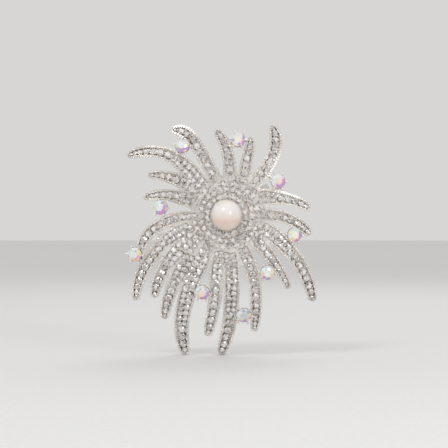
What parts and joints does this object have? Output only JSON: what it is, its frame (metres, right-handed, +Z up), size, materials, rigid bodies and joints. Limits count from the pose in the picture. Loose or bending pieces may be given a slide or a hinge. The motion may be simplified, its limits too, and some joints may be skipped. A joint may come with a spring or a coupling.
{
  "type": "starburst brooch",
  "caption": "Domed starburst brooch of tapering curved rays set with clear stones round a central pearl, with larger crystals in prong cups and a bar pin with a safety catch behind.",
  "frame": {"origin": "middle of the pin stem, on the stem's axis", "axes": "+Z up as worn, the longest extent; the brooch faces -Y; +X is the viewer's right; the stem rises 23 degrees towards +X"},
  "size_m": [0.0507, 0.0195, 0.061],
  "materials": {
    "plated_metal": "bright rhodium-coloured plate",
    "steel_wire": "polished",
    "pave_crystal": "faceted, foil-backed",
    "ab_crystal": "faceted, iridescent coating",
    "pearl": "pearl lustre"
  },
  "bodies": {
    "brooch": {"ab_crystal_01": "ab_crystal", "ab_crystal_02": "ab_crystal", "ab_crystal_03": "ab_crystal", "ab_crystal_04": "ab_crystal", "ab_crystal_05": "ab_crystal", "ab_crystal_06": "ab_crystal", "ab_crystal_07": "ab_crystal", "ab_crystal_08": "ab_crystal", "ab_crystal_09": "ab_crystal", "catch_housing": "plated_metal", "hinge_rivet": "steel_wire", "pave_filler": "pave_crystal", "pave_ray_01": "pave_crystal", "pave_ray_02": "pave_crystal", "pave_ray_03": "pave_crystal", "pave_ray_04": "pave_crystal", "pave_ray_05": "pave_crystal", "pave_ray_06": "pave_crystal", "pave_ray_07": "pave_crystal", "pave_ray_08": "pave_crystal", "pave_ray_09": "pave_crystal", "pave_ray_10": "pave_crystal", "pave_ray_11": "pave_crystal", "pave_ray_12": "pave_crystal", "pave_ray_13": "pave_crystal", "pave_ray_14": "pave_crystal", "pave_ray_15": "pave_crystal", "pave_ray_16": "pave_crystal", "pave_ray_17": "pave_crystal", "pave_ray_18": "pave_crystal", "pave_ray_19": "pave_crystal", "pave_rings_inner": "pave_crystal", "pave_rings_outer": "pave_crystal", "pearl": "pearl", "pearl_cup": "plated_metal", "pin_bar": "plated_metal", "setting_01": "plated_metal", "setting_02": "plated_metal", "setting_03": "plated_metal", "setting_04": "plated_metal", "setting_05": "plated_metal", "setting_06": "plated_metal", "setting_07": "plated_metal", "setting_08": "plated_metal", "setting_09": "plated_metal", "starburst_casting": "plated_metal"},
    "stem": {"pin_stem": "steel_wire"},
    "barrel": {"lock_barrel": "plated_metal"}
  },
  "joints": [
    {"name": "stem_hinge", "type": "hinge", "parent": "brooch", "child": "stem", "pos_m": [-0.01059, 0, -0.00449], "axis": [-0.3907, 0, 0.9205], "range_deg": [0, 90]},
    {"name": "catch_lock", "type": "hinge", "parent": "brooch", "child": "barrel", "pos_m": [0.01031, 0, 0.00438], "axis": [0.9205, 0, 0.3907], "range_deg": [0, 140]}
  ]
}
